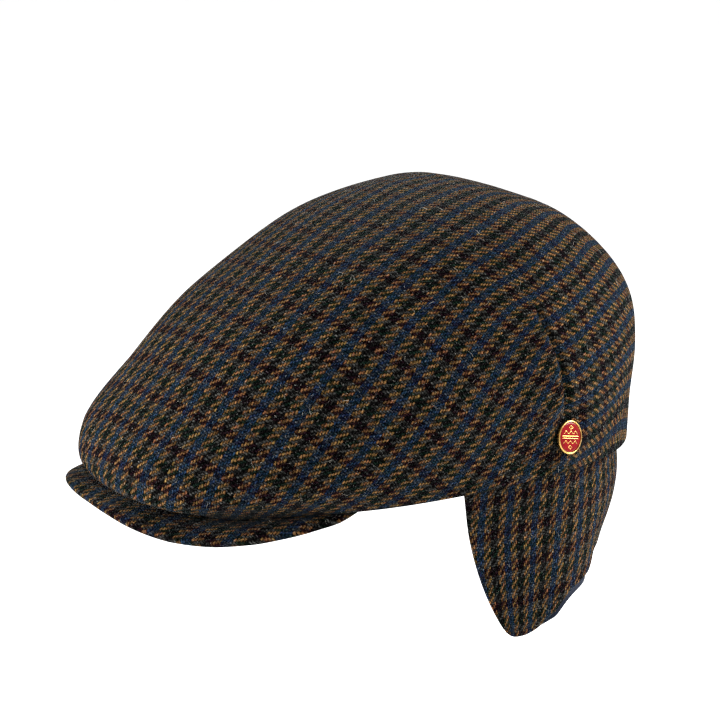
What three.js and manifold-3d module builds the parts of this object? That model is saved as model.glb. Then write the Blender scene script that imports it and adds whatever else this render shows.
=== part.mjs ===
// Earflap flat cap: a hollow one-piece tweed crown that overhangs a stiffened peak, a lined band
// that hangs over the ears and the nape, and an enamelled badge pinned through the crown's side.
// Millimetres. -Y is the front, +X the wearer's left and +Z up.
// The origin is the middle of the head opening, level with the hem at the ears.
import * as THREE from "three";
import Module from "manifold-3d";

const wasm = await Module();
wasm.setup();

// Driving dimensions
const seatGap = 0.3; // between pieces that are sewn or pressed together
const crownWall = 2.4; // tweed with its interlining
const bandWall = 2; // tweed of the ear and nape band
const liningWall = 1.6;

// The crown is lofted through rings, from the hem up to the top. Each row gives where its ring
// passes in front, at the side and behind, and how square its front corners are.
const crownRings = [
  { frontY: -144, frontZ: 10.5, sideX: 85.5, sideY: 12.5, sideZ: 1, backY: 100, backZ: -8.5, square: 2.1 },
  { frontY: -158, frontZ: 17, sideX: 87.8, sideY: 8.5, sideZ: 15, backY: 102.5, backZ: 15, square: 2.6 },
  { frontY: -154.5, frontZ: 30, sideX: 91, sideY: 8, sideZ: 35, backY: 106, backZ: 39, square: 2.6 },
  { frontY: -135, frontZ: 49.5, sideX: 89, sideY: 10, sideZ: 57, backY: 104.5, backZ: 60.5, square: 2.35 },
  { frontY: -107, frontZ: 72, sideX: 81.5, sideY: 12, sideZ: 79.5, backY: 93, backZ: 80, square: 2.3 },
  { frontY: -72, frontZ: 94, sideX: 66.5, sideY: 14, sideZ: 99.5, backY: 73, backZ: 97.5, square: 2.1 },
  { frontY: -37, frontZ: 111, sideX: 44.5, sideY: 15, sideZ: 112, backY: 50.5, backZ: 109, square: 2.05 },
  { frontY: -8.5, frontZ: 119, sideX: 21.5, sideY: 16.5, sideZ: 117.5, backY: 33.5, backZ: 114.5, square: 2 },
];
const crownTop = { y: 18, z: 119.7 };
const hemArch = { front: 3.5, back: 1.6 }; // how late the hem leaves its height at the sides

// The peak runs from the forehead, under the crown's front edge, to a lip in front of it.
const peak = {
  endAngle: 56, // degrees round the hem, from the front to where the peak runs out
  endSharpness: 7, // how suddenly it runs out
  endReach: 4, // how far it still reaches inside the hem there
  halfWidth: 86.5, // of the oval that its lip follows
  front: 165.5,
  square: 2.85,
  lipRise: 1.1, // how far the lip rises above the crown's edge in front
  lipFall: 4, // and falls below it at the sides
  fall: { from: 0.2, to: 0.85 }, // where it falls, as shares of the end angle
  forehead: { halfWidth: 77, front: 98 }, // the oval of its inner edge
  foreheadRise: 2,
  thickness: 3.2,
  lipThickness: 2.6,
  endThickness: 1,
};

// The band's lower edge, from the nape round to its front edge, by the angle round the hem.
const bandEdge = [
  { angle: 180, drop: 55.5 }, // nape
  { angle: 155, drop: 56 },
  { angle: 130, drop: 57.5 },
  { angle: 114, drop: 58 },
  { angle: 103, drop: 57 },
  { angle: 96, drop: 58.2 },
  { angle: 90, drop: 62.6 },
  { angle: 86, drop: 67 },
  { angle: 83.2, drop: 68 }, // ear tip
  { angle: 81, drop: 65 },
  { angle: 79, drop: 54.5 },
  { angle: 77.4, drop: 40 },
  { angle: 76.3, drop: 21 },
  { angle: 75.8, drop: 0 }, // front edge, at the hem
];
const band = {
  insideRise: 11, // how far it reaches up inside the crown
  hangStart: 6, // how far below the ears' hem it starts to spread or close in
  earSpread: 7, // how far its lower edge spreads at the ears
  napeClose: 13, // and closes in on the nape
  nape: { from: 86, to: 128 }, // degrees, where the spreading turns into closing in
  liningShow: 3.5, // how far the lining shows under the tweed just behind the ear tips
  liningShort: 2, // how far it stops short of the tweed elsewhere
  show: { from: 84, full: 97, fade: 115, to: 138 }, // degrees, where it shows
};

const badge = {
  rise: 0.135, // up the crown, as a share of the way from the hem to the top
  angle: 99.3, // degrees round the crown, from the front
  diameter: 14.6,
  height: 1.7,
  rimWidth: 0.8,
  rimRound: 0.3,
  floor: 0.7,
  enamelGap: 0.1, // between the enamel and the metal round it
  enamelSunk: 0.35, // below the rim's top
  enamelDome: 0.3,
  postDiameter: 1.6,
  keeperDiameter: 7,
  keeperThickness: 1.2,
};

const steps = { round: 64, rise: 15, hem: 3, peakRound: 40, peakAcross: 8, band: 64, bandDown: 7, badge: 32 };

const { degToRad, radToDeg, lerp, smoothstep } = THREE.MathUtils;
const vec = (x, y, z) => new THREE.Vector3(x, y, z);
const range = (count) => Array.from({ length: count + 1 }, (_, i) => i / count);

// Guide lines up the front, the side and the back, with a point for each ring
const top = vec(0, crownTop.y, crownTop.z);
const guide = (place) => new THREE.CatmullRomCurve3([...crownRings.map(place), top], false, "catmullrom");
const frontLine = guide((r) => vec(0, r.frontY, r.frontZ));
const sideLine = guide((r) => vec(r.sideX, r.sideY, r.sideZ));
const backLine = guide((r) => vec(0, r.backY, r.backZ));

function squareness(rise) {
  const place = rise * crownRings.length;
  const row = Math.min(Math.floor(place), crownRings.length - 1);
  const next = Math.min(row + 1, crownRings.length - 1);
  return lerp(crownRings[row].square, crownRings[next].square, place - row);
}

// Where an oval with the given squareness lies at an angle, as shares of its half lengths
function oval(angle, square) {
  const along = Math.abs(Math.cos(angle));
  const across = Math.sin(angle);
  const reach = (along ** square + Math.abs(across) ** square) ** (-1 / square);
  return { along: along * reach, across: across * reach };
}

// A point on the crown's outside: rise is 0 at the hem and 1 at the top, angle is 0 in front.
function crownPoint(rise, angle) {
  const inFront = Math.cos(angle) >= 0;
  const side = sideLine.getPoint(rise);
  const end = (inFront ? frontLine : backLine).getPoint(rise);
  const { along, across } = oval(angle, inFront ? squareness(rise) : 2);
  const arch = inFront ? lerp(hemArch.front, 2, Math.min(rise * crownRings.length, 1)) : hemArch.back;
  return vec(side.x * across, lerp(side.y, end.y, along), lerp(side.z, end.z, along ** arch));
}

function crownNormal(rise, angle) {
  const step = 1e-3;
  const up = crownPoint(Math.min(rise + step, 1), angle).sub(crownPoint(Math.max(rise - step, 0), angle));
  const round = crownPoint(rise, angle + step).sub(crownPoint(rise, angle - step));
  return round.cross(up).normalize();
}

const crownInside = (rise, angle) =>
  crownPoint(rise, angle).addScaledVector(crownNormal(rise, angle), -crownWall);

// A point on the rounded hem: turn is 0 at the outside and pi at the inside.
function hemPoint(turn, angle) {
  const outer = crownPoint(0, angle);
  const inner = crownInside(0, angle);
  const middle = outer.clone().add(inner).multiplyScalar(0.5);
  const down = outer.clone().sub(crownPoint(0.01, angle)).setLength(crownWall / 2);
  const across = outer.sub(inner).multiplyScalar(Math.cos(turn) / 2);
  return middle.add(across).addScaledVector(down, Math.sin(turn));
}

const hemTurns = range(steps.hem).map((s) => s * Math.PI);
const hemBottom = (angle) => Math.min(...hemTurns.map((turn) => hemPoint(turn, angle).z));

// Which way is outward from the hem, level
function hemOutward(angle) {
  const step = 1e-3;
  return crownPoint(0, angle + step).sub(crownPoint(0, angle - step)).cross(vec(0, 0, 1)).setZ(0).normalize();
}

// A geometry from points and faces with three or four corners
function geometryOf(points, faces) {
  const geometry = new THREE.BufferGeometry();
  geometry.setAttribute("position", new THREE.Float32BufferAttribute(points.flatMap((p) => p.toArray()), 3));
  geometry.setIndex(faces.flatMap((f) => (f.length === 4 ? [f[0], f[1], f[2], f[0], f[2], f[3]] : f)));
  return geometry;
}

// A closed plate between two grids of points, front[i][j] and back[i][j], with its four edges.
// Seen from the front, i runs to the right and j runs down.
function plateOf(front, back) {
  const columns = front.length;
  const rows = front[0].length;
  const f = (i, j) => i * rows + j;
  const b = (i, j) => columns * rows + f(i, j);
  const endColumn = columns - 1;
  const endRow = rows - 1;
  const faces = [];
  for (let i = 0; i < endColumn; i++) {
    for (let j = 0; j < endRow; j++) {
      faces.push([f(i, j), f(i, j + 1), f(i + 1, j + 1), f(i + 1, j)]);
      faces.push([b(i, j), b(i + 1, j), b(i + 1, j + 1), b(i, j + 1)]);
    }
    faces.push([f(i, 0), f(i + 1, 0), b(i + 1, 0), b(i, 0)]);
    faces.push([f(i, endRow), b(i, endRow), b(i + 1, endRow), f(i + 1, endRow)]);
  }
  for (let j = 0; j < endRow; j++) {
    faces.push([f(0, j), b(0, j), b(0, j + 1), f(0, j + 1)]);
    faces.push([f(endColumn, j), f(endColumn, j + 1), b(endColumn, j + 1), b(endColumn, j)]);
  }
  return geometryOf([...front.flat(), ...back.flat()], faces);
}

function solidOf(geometry) {
  const mesh = new wasm.Mesh({
    numProp: 3,
    vertProperties: new Float32Array(geometry.attributes.position.array),
    triVerts: new Uint32Array(geometry.index.array),
  });
  mesh.merge();
  return new wasm.Manifold(mesh);
}

function cut(geometry, tool) {
  const mesh = solidOf(geometry).subtract(solidOf(tool)).getMesh();
  const made = new THREE.BufferGeometry();
  made.setAttribute("position", new THREE.BufferAttribute(mesh.vertProperties, 3));
  made.setIndex(new THREE.BufferAttribute(mesh.triVerts, 1));
  return made;
}

// Crown: inside rings down from the top, the rounded hem, and outside rings up to the top again
function crownGeometry() {
  const angles = range(steps.round).slice(0, -1).map((s) => s * 2 * Math.PI);
  const rises = range(steps.rise).slice(0, -1);
  const turns = hemTurns.slice(1, -1);
  const rings = [
    ...rises.toReversed().map((rise) => angles.map((angle) => crownInside(rise, angle))),
    ...turns.toReversed().map((turn) => angles.map((angle) => hemPoint(turn, angle))),
    ...rises.map((rise) => angles.map((angle) => crownPoint(rise, angle))),
  ];
  const count = angles.length;
  const last = (rings.length - 1) * count;
  const insideTop = rings.length * count;
  const faces = [];
  for (let i = 0; i < count; i++) {
    const next = (i + 1) % count;
    for (let low = 0; low < last; low += count) {
      faces.push([low + i, low + next, low + count + next, low + count + i]);
    }
    faces.push([insideTop, next, i], [last + i, last + next, insideTop + 1]);
  }
  const insideTopPoint = vec(0, top.y, top.z - crownWall);
  return geometryOf([...rings.flat(), insideTopPoint, top], faces);
}

// Peak: each section runs from the forehead, under the crown's edge, to the lip
function peakGeometry() {
  const end = degToRad(peak.endAngle);
  const middle = crownRings[0].sideY;
  const ovalPoint = ({ halfWidth, front }, { along, across }, z) =>
    vec(halfWidth * across, lerp(middle, -front, along), z);
  const sections = range(steps.peakRound).map((s) => {
    const angle = lerp(-end, end, s);
    const share = Math.abs(angle / end);
    const open = Math.max(1 - share ** peak.endSharpness, 0.03); // 1 in front, least at the ends
    const seat = crownPoint(0, angle).setZ(hemBottom(angle) - seatGap);
    const lip = seat.clone().lerp(ovalPoint(peak, oval(angle, peak.square), seat.z), open);
    const fall = smoothstep(share, peak.fall.from, peak.fall.to);
    lip.z += open * lerp(peak.lipRise, -peak.lipFall, fall);
    const forehead = ovalPoint(peak.forehead, oval(angle, 2), seat.z + peak.foreheadRise * open);
    forehead.lerp(seat.clone().addScaledVector(hemOutward(angle), -peak.endReach), share ** 2);
    const line = new THREE.CatmullRomCurve3([forehead, seat, lip], false, "catmullrom");
    return { line, open: Math.sqrt(open) };
  });
  const thickness = (open, t) =>
    lerp(peak.endThickness, lerp(peak.thickness, peak.lipThickness, smoothstep(t, 0.6, 1)), open);
  const face = (share) =>
    sections.map(({ line, open }) =>
      range(steps.peakAcross).map((t) => line.getPoint(t).add(vec(0, 0, -share * thickness(open, t)))),
    );
  return plateOf(face(0), face(1));
}

// A point of the band, at a depth inside its outer face
const deepest = Math.max(...bandEdge.map((row) => row.drop));
function bandPoint(angle, z, depth) {
  const toNape = smoothstep(Math.abs(angle), degToRad(band.nape.from), degToRad(band.nape.to));
  const close = lerp(-band.earSpread, band.napeClose, toNape) * smoothstep(-z, band.hangStart, deepest);
  const inset = crownWall + seatGap + close + depth;
  return crownPoint(0, angle).addScaledVector(hemOutward(angle), -inset).setZ(z);
}

// One face of the band: columns from the left front edge, round the nape, to the right front edge.
// Its lower edge hangs further down by show just behind the ear tips, and stops short elsewhere.
function bandFace(depth, show, short) {
  const edge = new THREE.SplineCurve(bandEdge.map((row) => new THREE.Vector2(row.angle, row.drop)));
  const shortAngle = radToDeg(short / crownRings[0].sideX);
  return range(steps.band).map((s) => {
    const place = edge.getPoint(Math.abs(2 * s - 1));
    const behindTip = smoothstep(place.x, band.show.from, band.show.full);
    const shown = behindTip * (1 - smoothstep(place.x, band.show.fade, band.show.to));
    const turn = place.x + (1 - behindTip) * shortAngle;
    const angle = degToRad(turn) * (s < 0.5 ? 1 : -1);
    const low = lerp(short, -show, shown) - place.y;
    const high = crownPoint(0, angle).z + band.insideRise;
    return range(steps.bandDown).map((t) => bandPoint(angle, lerp(high, low, t), depth));
  });
}

function bandGeometry(depth, wall, show = 0, short = 0) {
  return plateOf(bandFace(depth, show, short), bandFace(depth + wall, show, short));
}

// Badge parts are turned about +Z and then set on the crown, with their back on its outside.
const badgeAngle = degToRad(badge.angle);
const badgePlace = crownPoint(badge.rise, badgeAngle);
const badgeNormal = crownNormal(badge.rise, badgeAngle);

function turned(profile) {
  const points = profile.map(([radius, height]) => new THREE.Vector2(radius, height));
  const geometry = new THREE.LatheGeometry(points, steps.badge).rotateX(Math.PI / 2);
  const facing = new THREE.Quaternion().setFromUnitVectors(vec(0, 0, 1), badgeNormal);
  return geometry.applyQuaternion(facing).translate(...badgePlace.toArray());
}

function badgeGeometries() {
  const outer = badge.diameter / 2;
  const inner = outer - badge.rimWidth;
  const round = badge.rimRound;
  const back = seatGap;
  const floor = back + badge.floor;
  const high = back + badge.height;
  const enamelRadius = inner - badge.enamelGap;
  const enamelBack = floor + badge.enamelGap;
  const enamelEdge = high - badge.enamelSunk;
  const post = badge.postDiameter / 2;
  const postEnd = back - badge.enamelGap;
  const keeper = badge.keeperDiameter / 2;
  const keeperTop = -crownWall - 2 * seatGap;
  const keeperBottom = keeperTop - badge.keeperThickness;
  const holeRadius = post + seatGap;
  const holeReach = 2 * crownWall;
  return {
    rim: turned([[0, back], [outer - round, back], [outer, back + round], [outer, high - round],
      [outer - round, high], [inner, high], [inner, floor], [0, floor]]),
    enamel: turned([[0, enamelBack], [enamelRadius, enamelBack], [enamelRadius, enamelEdge],
      [inner / 2, enamelEdge + 0.75 * badge.enamelDome], [0, enamelEdge + badge.enamelDome]]),
    pin: turned([[0, keeperBottom], [keeper, keeperBottom], [keeper, keeperTop], [post, keeperTop],
      [post, postEnd], [0, postEnd]]),
    hole: turned([[0, -holeReach], [holeRadius, -holeReach], [holeRadius, holeReach], [0, holeReach]]),
  };
}

function mesh(name, geometry, colour, roughness, metalness = 0) {
  const material = new THREE.MeshStandardMaterial({ color: colour, roughness, metalness });
  const made = new THREE.Mesh(geometry, material);
  made.name = name;
  return made;
}

const badgeParts = badgeGeometries();
const liningDepth = bandWall + 2 * seatGap;
const lining = bandGeometry(liningDepth, liningWall, band.liningShow, band.liningShort);
const cap = new THREE.Group();
cap.add(
  mesh("crown", cut(crownGeometry(), badgeParts.hole), 0x3a332c, 0.95),
  mesh("peak", peakGeometry(), 0x3a332c, 0.95),
  mesh("ear_band", bandGeometry(0, bandWall), 0x38322b, 0.95),
  mesh("ear_band_lining", lining, 0x1c2130, 0.8),
  mesh("badge_rim", badgeParts.rim, 0xb98d45, 0.3, 1),
  mesh("badge_enamel", badgeParts.enamel, 0xa3141c, 0.2),
  mesh("badge_pin", badgeParts.pin, 0x9a9a98, 0.35, 1),
);

export default cap;
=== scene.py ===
from math import inf, pi

import bpy
import numpy as np
from mathutils import Matrix, Vector


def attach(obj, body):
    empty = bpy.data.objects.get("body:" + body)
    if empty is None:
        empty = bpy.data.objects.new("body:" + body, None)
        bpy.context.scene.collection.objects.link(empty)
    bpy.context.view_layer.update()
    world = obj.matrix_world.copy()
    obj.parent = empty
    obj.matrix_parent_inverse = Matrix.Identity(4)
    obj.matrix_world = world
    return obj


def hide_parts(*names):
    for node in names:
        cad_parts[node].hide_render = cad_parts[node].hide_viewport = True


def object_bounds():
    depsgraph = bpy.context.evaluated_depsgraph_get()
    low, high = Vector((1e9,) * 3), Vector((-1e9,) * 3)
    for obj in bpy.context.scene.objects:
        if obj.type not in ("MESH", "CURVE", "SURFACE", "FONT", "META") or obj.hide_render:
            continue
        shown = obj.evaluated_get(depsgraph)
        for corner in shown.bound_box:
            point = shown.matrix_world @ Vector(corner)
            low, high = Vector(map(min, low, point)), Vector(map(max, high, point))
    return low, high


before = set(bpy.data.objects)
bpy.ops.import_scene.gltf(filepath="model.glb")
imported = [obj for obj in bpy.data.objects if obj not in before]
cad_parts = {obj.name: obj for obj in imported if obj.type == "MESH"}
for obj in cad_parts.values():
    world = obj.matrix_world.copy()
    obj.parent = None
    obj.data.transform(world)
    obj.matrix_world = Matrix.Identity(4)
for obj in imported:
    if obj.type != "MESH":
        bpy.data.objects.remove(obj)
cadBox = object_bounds()
scene = bpy.context.scene
mm = 0.001  # shapes are worked out in millimetres
tiny = 1e-9  # keeps divisions and comparisons safe
print("frame:", ", ".join(sorted(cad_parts)))


# small helpers

def smooth(value, low, high):
    t = np.clip((value - low) / (high - low), 0, 1)
    return t * t * (3 - 2 * t)


def mix(a, b, t):
    return a + (b - a) * t


def unit(vectors):
    return vectors / np.maximum(np.linalg.norm(vectors, axis=-1, keepdims=True), tiny)


def spline(points, share):
    # even Catmull-Rom through the points, its ends carried on straight
    points = np.asarray(points, float)
    padded = np.vstack([2 * points[0] - points[1], points, 2 * points[-1] - points[-2]])
    place = np.clip(share, 0, 1) * (len(points) - 1)
    first = np.minimum(place.astype(int), len(points) - 2)
    t = (place - first)[..., None]
    p0, p1, p2, p3 = (padded[first + k] for k in range(4))
    curve = 2 * p1 + (p2 - p0) * t
    curve = curve + (2 * p0 - 5 * p1 + 4 * p2 - p3) * t**2
    return 0.5 * (curve + (3 * p1 - p0 - 3 * p2 + p3) * t**3)


def gridCells(grid):
    # the four corners of each cell
    corners = np.stack([grid[:-1, :-1], grid[:-1, 1:], grid[1:, 1:], grid[1:, :-1]], 2)
    return corners.reshape(-1, 4, *grid.shape[2:])


def planUvs(points, faces):
    # x and y of each face corner
    return [points[v][:2] for face in faces for v in face]


def makePiece(name, points, faces, uvs, materials, node, parts=None):
    # points in mm, one uv pair per face corner; parts gives each face's material where there are two
    mesh = bpy.data.meshes.new(name)
    mesh.from_pydata((np.asarray(points) * mm).tolist(), [], faces)
    layer = mesh.uv_layers.new(name="cloth")
    layer.data.foreach_set("uv", np.asarray(uvs, np.float32).ravel())
    for material in materials:
        mesh.materials.append(material)
    if parts:
        mesh.polygons.foreach_set("material_index", np.asarray(parts, np.int32))
    mesh.polygons.foreach_set("use_smooth", np.ones(len(faces), bool))
    mesh.validate()
    piece = bpy.data.objects.new(name, mesh)
    scene.collection.objects.link(piece)
    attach(piece, "root")
    if node:
        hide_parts(node)
    print(name, len(faces), "faces")


# materials

def linear(hexColour):
    # sRGB hex to the linear colour that shaders take
    parts = [int(hexColour[i:i + 2], 16) / 255 for i in (1, 3, 5)]
    return [c / 12.92 if c <= 0.04045 else ((c + 0.055) / 1.055) ** 2.4 for c in parts] + [1]


def addNode(tree, kind, inputs=None, out=0, ramp=None, **settings):
    # adds a node with its settings and links, and gives back one of its outputs
    node = tree.nodes.new("ShaderNode" + kind)
    for key, value in settings.items():
        setattr(node, key, value)
    if ramp:
        stops = node.color_ramp.elements
        while len(stops) < len(ramp):
            stops.new(1)
        for stop, (place, colour) in zip(stops, ramp):
            stop.position = place
            stop.color = linear(colour)
    for key, value in (inputs or {}).items():
        if isinstance(value, bpy.types.NodeSocket):
            tree.links.new(value, node.inputs[key])
        else:
            node.inputs[key].default_value = value
    return node.outputs[out] if len(node.outputs) else None


def newMaterial(name):
    material = bpy.data.materials.new(name)
    material.use_nodes = True
    material.node_tree.nodes.clear()
    return material, material.node_tree


# Wool tweed, woven as a 2/2 twill from thick woollen yarn and lightly milled.
# Ends of blue, ochre, brown-black and ochre cross picks of bottle green, grey, burgundy-black and grey,
# four of a colour side by side: a small check in which the ochre shows as slanting dashes.
# The fibres blur each thread, and the milled nap greys it at grazing angles.
tweed = {
    "endSpacing": 0.87, "pickSpacing": 0.97,  # mm from thread to thread
    "together": 4,  # threads of a colour side by side
    "over": 2, "under": 2,  # picks that each end passes over and then under
    "ends": ["#101c2a", "#4e3720", "#090808", "#4c351f"],
    "cover": [0.42, 0.03, 0.12, 0.03],  # how far the nap of each end hides the picks that cross it
    "picks": ["#08120d", "#232321", "#0f060a", "#222221"],
    "stain": ["#fcffff", "#ffffff", "#ede5ef", "#ffffff"],  # what felting takes from an end over each pick
    "drift": (24, 1.0), "fray": (0.7, 0.42),  # mm: over what length the threads stray, and how far
    "roundness": 0.6,  # power of a thread's arch
    "spun": (7.3, 0.17, 31),  # steps through the noise: to the next thread, along it, from picks to ends
    "hue": (0.25, 0.75, 0.477, 0.53), "value": (0.25, 0.75, 0.4, 1.6),  # range of the noise, range it gives
    "fibreSize": 0.9, "fibre": (0.36, 0.66, 0, 2.2),  # mm, and ranges as above
    "lintSize": 1.1, "lint": (0.62, 0.8, 0, 0.62), "lintColour": "#888a85",
    "topLight": 1.3,  # on top of a thread, from none in the depth
    "relief": 0.45,  # mm
    "napTint": "#b4c4c8",
}


def woolTweed():
    material, t = newMaterial("milled wool tweed, 2/2 twill")
    cloth = addNode(t, "UVMap", uv_map="cloth")
    place = cloth
    for key, detail in (("drift", 1), ("fray", 2)):
        size, reach = tweed[key]
        stray = {"Vector": cloth, "Scale": 1 / size, "Detail": detail}
        stray = addNode(t, "TexNoise", stray, "Color", noise_dimensions="2D")
        stray = addNode(t, "VectorMath", {0: stray, 1: (0.5, 0.5, 0.5)}, operation="SUBTRACT")
        place = {0: stray, 1: (2 * reach,) * 3, 2: place}
        place = addNode(t, "VectorMath", place, operation="MULTIPLY_ADD")
    perThread = (1 / tweed["endSpacing"], 1 / tweed["pickSpacing"], 1)
    threads = addNode(t, "VectorMath", {0: place, 1: perThread}, operation="MULTIPLY")
    whole = addNode(t, "VectorMath", {0: threads}, operation="FLOOR")
    end, pick, _ = addNode(t, "SeparateXYZ", {0: whole}).node.outputs
    part = addNode(t, "VectorMath", {0: threads}, operation="FRACTION")
    inEnd, inPick, _ = addNode(t, "SeparateXYZ", {0: part}).node.outputs

    # each end lies over two picks and under two, one pick further on from end to end
    course = tweed["over"] + tweed["under"]
    step = addNode(t, "Math", {0: pick, 1: end}, operation="SUBTRACT")
    phase = addNode(t, "Math", {0: step, 1: course}, operation="FLOORED_MODULO")
    warpUp = addNode(t, "Math", {0: phase, 1: tweed["over"]}, operation="LESS_THAN")
    alongEnd = addNode(t, "Math", {0: phase, 1: inPick}, operation="ADD")
    back = addNode(t, "Math", {0: course - 1, 1: phase}, operation="SUBTRACT")
    alongPick = addNode(t, "Math", {0: back, 1: inEnd}, operation="ADD")
    along = addNode(t, "Mix", {0: warpUp, 2: alongPick, 3: alongEnd})
    across = addNode(t, "Mix", {0: warpUp, 2: inPick, 3: inEnd})
    # where a thread lies on top it is highest in its middle, along and across
    alongArch = addNode(t, "Math", {0: along, 1: pi / tweed["over"]}, operation="MULTIPLY")
    alongArch = addNode(t, "Math", {0: alongArch}, operation="SINE")
    acrossArch = addNode(t, "Math", {0: across, 1: pi}, operation="MULTIPLY")
    acrossArch = addNode(t, "Math", {0: acrossArch}, operation="SINE")
    arch = addNode(t, "Math", {0: alongArch, 1: acrossArch}, operation="MULTIPLY")
    height = addNode(t, "Math", {0: arch, 1: tweed["roundness"]}, operation="POWER")

    # yarn colours, by end and by pick
    shades = {}
    for key, thread in (("ends", end), ("picks", pick), ("stain", pick)):
        repeat = tweed["together"] * len(tweed[key])
        place = addNode(t, "Math", {0: thread, 1: repeat}, operation="FLOORED_MODULO")
        place = addNode(t, "Math", {0: place, 1: 1 / repeat, 2: 0.5 / repeat}, operation="MULTIPLY_ADD")
        stops = [(i / len(tweed[key]), colour) for i, colour in enumerate(tweed[key])]
        shades[key] = addNode(t, "ValToRGB", {0: place}, ramp=stops)
        shades[key].node.color_ramp.interpolation = "CONSTANT"
    ends = {0: 1, 6: shades["ends"], 7: shades["stain"]}
    ends = addNode(t, "Mix", ends, 2, data_type="RGBA", blend_type="MULTIPLY")
    for stop, cover in zip(shades["ends"].node.color_ramp.elements, tweed["cover"]):
        stop.alpha = cover
    cover = shades["ends"].node.outputs["Alpha"]
    under = addNode(t, "Mix", {0: cover, 6: shades["picks"], 7: ends}, 2, data_type="RGBA")
    yarn = addNode(t, "Mix", {0: warpUp, 6: under, 7: ends}, 2, data_type="RGBA")

    # each yarn is spun from mixed fibres, so it changes slowly along its length
    ranges = ("From Min", "From Max", "To Min", "To Max")
    which = addNode(t, "Mix", {0: warpUp, 2: pick, 3: end})
    far = addNode(t, "Mix", {0: warpUp, 2: end, 3: pick})
    spun = addNode(t, "CombineXYZ", {0: which, 1: far, 2: warpUp})
    spun = addNode(t, "VectorMath", {0: spun, 1: tweed["spun"]}, operation="MULTIPLY")
    spun = addNode(t, "TexNoise", {"Vector": spun, "Scale": 1, "Detail": 1}, "Color")
    hue, value, _ = addNode(t, "SeparateXYZ", {0: spun}).node.outputs
    hue = addNode(t, "MapRange", {"Value": hue, **dict(zip(ranges, tweed["hue"]))})
    value = addNode(t, "MapRange", {"Value": value, **dict(zip(ranges, tweed["value"]))})
    yarn = addNode(t, "HueSaturation", {"Hue": hue, "Value": value, "Color": yarn})
    # single fibres, and pale lint that is caught among them
    specks = {}
    for key in ("fibre", "lint"):
        speck = {"Vector": cloth, "Scale": 1 / tweed[key + "Size"], "Detail": 3, "Roughness": 0.8}
        speck = addNode(t, "TexNoise", speck, noise_dimensions="2D")
        specks[key] = addNode(t, "MapRange", {"Value": speck, **dict(zip(ranges, tweed[key]))})
    yarn = {0: 1, 6: yarn, 7: specks["fibre"]}
    yarn = addNode(t, "Mix", yarn, 2, data_type="RGBA", blend_type="MULTIPLY")
    yarn = {0: specks["lint"], 6: yarn, 7: linear(tweed["lintColour"])}
    yarn = addNode(t, "Mix", yarn, 2, data_type="RGBA")
    # little light reaches down between the yarns
    depth = addNode(t, "MapRange", {"Value": height, "To Min": 0, "To Max": tweed["topLight"]})
    yarn = addNode(t, "Mix", {0: 1, 6: yarn, 7: depth}, 2, data_type="RGBA", blend_type="MULTIPLY")

    bump = addNode(t, "Bump", {"Strength": 0.8, "Distance": tweed["relief"] * mm, "Height": height})
    wool = addNode(t, "BsdfPrincipled", {
        "Base Color": yarn, "Roughness": 0.95, "IOR": 1.54, "Specular IOR Level": 0, "Normal": bump,
        "Sheen Weight": 0.12, "Sheen Roughness": 0.08, "Sheen Tint": linear(tweed["napTint"]),
    })
    addNode(t, "OutputMaterial", {0: wool})
    return material


# Undyed wool, single fibres brushed up in milling: pale, matt hairs.
hair = {"dark": "#665f56", "light": "#aca598", "patch": 9}  # mm from shade to shade


def woolFibre():
    material, t = newMaterial("loose wool fibre")
    place = addNode(t, "TexCoord", out="Object")
    shade = addNode(t, "TexNoise", {"Vector": place, "Scale": 1 / (hair["patch"] * mm), "Detail": 2})
    colour = addNode(t, "ValToRGB", {0: shade}, ramp=[(0.35, hair["dark"]), (0.65, hair["light"])])
    wool = addNode(t, "BsdfPrincipled", {
        "Base Color": colour, "Roughness": 0.7, "IOR": 1.54, "Specular IOR Level": 0.3,
    })
    addNode(t, "OutputMaterial", {0: wool})
    return material


# Acetate satin lining, woven smooth and piece-dyed navy: a soft streaky shine along its fine threads.
satin = {
    "colour": "#0d1119", "streak": "#171c2a",
    "threadSpacing": 0.35, "threadLength": 20, "relief": 0.1,  # mm
}


def satinLining():
    material, t = newMaterial("navy acetate satin lining")
    cloth = addNode(t, "UVMap", uv_map="cloth")
    perThread = (1 / satin["threadSpacing"], 1 / satin["threadLength"], 1)
    stretched = addNode(t, "VectorMath", {0: cloth, 1: perThread}, operation="MULTIPLY")
    threads = addNode(t, "TexNoise", {"Vector": stretched, "Scale": 1, "Detail": 2}, noise_dimensions="2D")
    colour = addNode(t, "ValToRGB", {0: threads}, ramp=[(0.3, satin["colour"]), (0.75, satin["streak"])])
    shine = addNode(t, "MapRange", {"Value": threads, "To Min": 0.5, "To Max": 0.65})
    bump = addNode(t, "Bump", {"Strength": 0.25, "Distance": satin["relief"] * mm, "Height": threads})
    cover = addNode(t, "BsdfPrincipled", {
        "Base Color": colour, "Roughness": shine, "IOR": 1.47, "Specular IOR Level": 0.04, "Normal": bump,
    })
    addNode(t, "OutputMaterial", {0: cover})
    return material


# Gilt brass, struck and polished: bright, with faint rub marks.
brass = {"dark": "#a97c38", "light": "#d3ab66", "rubSize": 0.6}  # mm


def giltBrass():
    material, t = newMaterial("polished gilt brass")
    place = addNode(t, "TexCoord", out="Object")
    rubs = addNode(t, "TexNoise", {"Vector": place, "Scale": 1 / (brass["rubSize"] * mm), "Detail": 3})
    colour = addNode(t, "ValToRGB", {0: rubs}, ramp=[(0.3, brass["dark"]), (0.7, brass["light"])])
    rough = addNode(t, "MapRange", {"Value": rubs, "To Min": 0.18, "To Max": 0.36})
    metal = addNode(t, "BsdfPrincipled", {"Base Color": colour, "Metallic": 1, "Roughness": rough})
    addNode(t, "OutputMaterial", {0: metal})
    return material


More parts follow.
